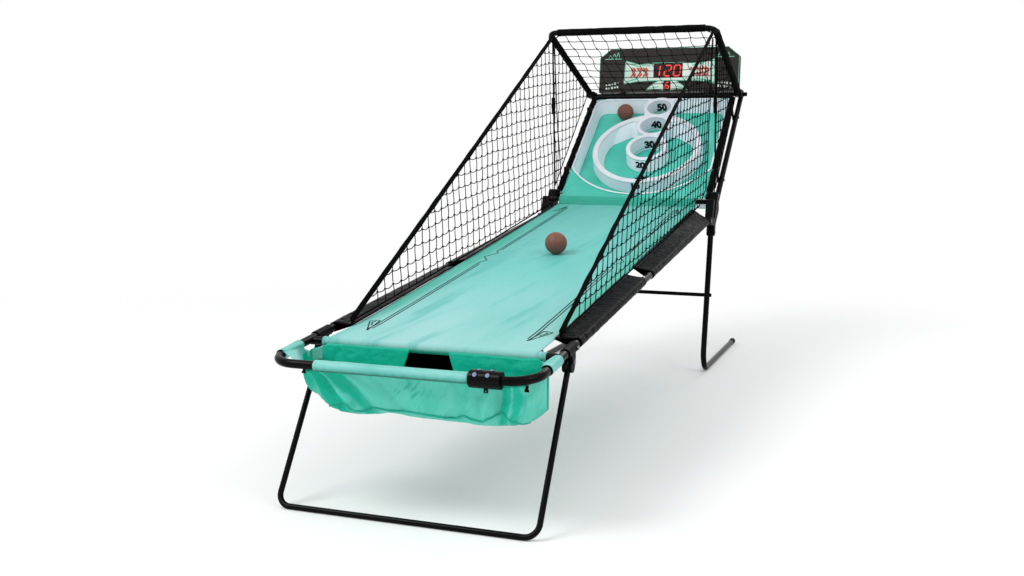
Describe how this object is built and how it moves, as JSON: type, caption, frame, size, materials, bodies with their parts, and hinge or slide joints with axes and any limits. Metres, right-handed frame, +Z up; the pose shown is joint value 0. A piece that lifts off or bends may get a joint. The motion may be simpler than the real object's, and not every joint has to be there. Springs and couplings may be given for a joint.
{
  "type": "home skee-ball game",
  "caption": "Floor-standing roll-a-ball game on folding tube legs: cloth lane, ball pouch, sloping target with ring and cups, nets and a score unit.",
  "frame": {"origin": "on the floor, under the middle of the bounding box", "axes": "+X to the player's right, +Y along the lane from the player to the target, +Z up"},
  "size_m": [0.642, 2.487, 1.1788],
  "materials": {
    "tube_steel": "gloss black paint",
    "moulding": "fine grained",
    "cap_rubber": "satin",
    "screw_steel": "satin",
    "button_steel": "polished",
    "rail_vinyl": "wrinkled gloss vinyl",
    "bar_vinyl": "wrinkled gloss vinyl",
    "lane_print": "printed cloth",
    "pouch_cloth": "woven nylon",
    "dark_cloth": "woven nylon",
    "strap_web": "woven webbing",
    "net_cord": "knotted cord",
    "target_plastic": "satin moulding",
    "ball": "satin",
    "score_case": "fine grained",
    "control_case": "fine grained",
    "score_lens": "tinted window",
    "circuit": "circuit board",
    "key_plastic": "silver"
  },
  "bodies": {
    "frame": {"ball_pouch": "pouch_cloth", "bar_sleeves": "bar_vinyl", "battery_cover": "score_case", "catch_cloth": "dark_cloth", "control_box_lower": "control_case", "control_box_upper": "control_case", "foot_caps": "cap_rubber", "frame_screws": "screw_steel", "frame_standoffs": "moulding", "front_rail": "tube_steel", "knuckle_left": "moulding", "knuckle_right": "moulding", "lane_cloth": "lane_print", "lane_front_tube": "tube_steel", "leg_bracket_left": "moulding", "leg_bracket_right": "moulding", "leg_pivot_bolts": "screw_steel", "net_bar_sleeve": "rail_vinyl", "net_elbows": "moulding", "net_frame": "tube_steel", "net_straps": "strap_web", "pouch_straps": "strap_web", "rail_sleeve_front_left": "rail_vinyl", "rail_sleeve_front_right": "rail_vinyl", "rail_sleeve_rear_left": "rail_vinyl", "rail_sleeve_rear_right": "rail_vinyl", "ramp_cloth": "lane_print", "ramp_tube": "tube_steel", "rear_cross_bar": "tube_steel", "rear_leg_left": "tube_steel", "rear_leg_right": "tube_steel", "rear_nets": "net_cord", "rear_rail_left": "tube_steel", "rear_rail_right": "tube_steel", "return_chute": "dark_cloth", "score_back_shell": "score_case", "score_brackets": "moulding", "score_circuit": "circuit", "score_front_shell": "score_case", "score_windows": "score_lens", "side_net_left": "net_cord", "side_net_right": "net_cord", "target_board": "target_plastic", "target_cups": "target_plastic", "target_frame": "tube_steel", "target_ring": "target_plastic", "top_cross_bar": "tube_steel", "top_net": "net_cord", "tube_caps": "moulding"},
    "front_leg": {"front_leg": "tube_steel"},
    "snap_button_left": {"snap_button_left": "button_steel"},
    "snap_button_right": {"snap_button_right": "button_steel"},
    "score_key_left": {"score_key_left": "key_plastic"},
    "score_key_right": {"score_key_right": "key_plastic"},
    "play_button_left": {"play_button_left": "key_plastic"},
    "play_button_right": {"play_button_right": "key_plastic"},
    "cord_slider_left": {"cord_slider_left": "moulding"},
    "cord_slider_right": {"cord_slider_right": "moulding"},
    "ball_on_lane": {"ball_on_lane": "ball"},
    "ball_on_target": {"ball_on_target": "ball"}
  },
  "joints": [
    {"name": "front_leg_fold", "type": "hinge", "parent": "frame", "child": "front_leg", "pos_m": [0, -1.00353, 0.32294], "axis": [1, 0, 0], "range_deg": [0, 120]},
    {"name": "snap_left_push", "type": "slide", "parent": "frame", "child": "snap_button_left", "axis": [0, 0.1116, -0.9937], "range_m": [0, 0.0045], "stiffness_N_per_m": 1500, "springref_m": -0.002},
    {"name": "snap_right_push", "type": "slide", "parent": "frame", "child": "snap_button_right", "axis": [0, 0.1116, -0.9937], "range_m": [0, 0.0045], "stiffness_N_per_m": 1500, "springref_m": -0.002},
    {"name": "score_key_left_push", "type": "slide", "parent": "frame", "child": "score_key_left", "axis": [0, 0, -1], "range_m": [0, 0.0013], "stiffness_N_per_m": 900, "springref_m": -0.0004},
    {"name": "score_key_right_push", "type": "slide", "parent": "frame", "child": "score_key_right", "axis": [0, 0, -1], "range_m": [0, 0.0013], "stiffness_N_per_m": 900, "springref_m": -0.0004},
    {"name": "play_button_left_push", "type": "slide", "parent": "frame", "child": "play_button_left", "axis": [0, 0.788, -0.6157], "range_m": [0, 0.0013], "stiffness_N_per_m": 900, "springref_m": -0.0004},
    {"name": "play_button_right_push", "type": "slide", "parent": "frame", "child": "play_button_right", "axis": [0, 0.788, -0.6157], "range_m": [0, 0.0013], "stiffness_N_per_m": 900, "springref_m": -0.0004},
    {"name": "cord_slider_left_run", "type": "slide", "parent": "frame", "child": "cord_slider_left", "axis": [0, -0.0632, 0.998], "range_m": [-0.24, 0.16]},
    {"name": "cord_slider_right_run", "type": "slide", "parent": "frame", "child": "cord_slider_right", "axis": [0, -0.0632, 0.998], "range_m": [-0.24, 0.16]},
    {"name": "lane_ball_lift", "type": "slide", "parent": "frame", "child": "ball_on_lane", "axis": [0, -0.136, 0.9907], "range_m": [0, 0.25]},
    {"name": "target_ball_lift", "type": "slide", "parent": "frame", "child": "ball_on_target", "axis": [0, -0.6166, 0.7873], "range_m": [0, 0.08]}
  ]
}
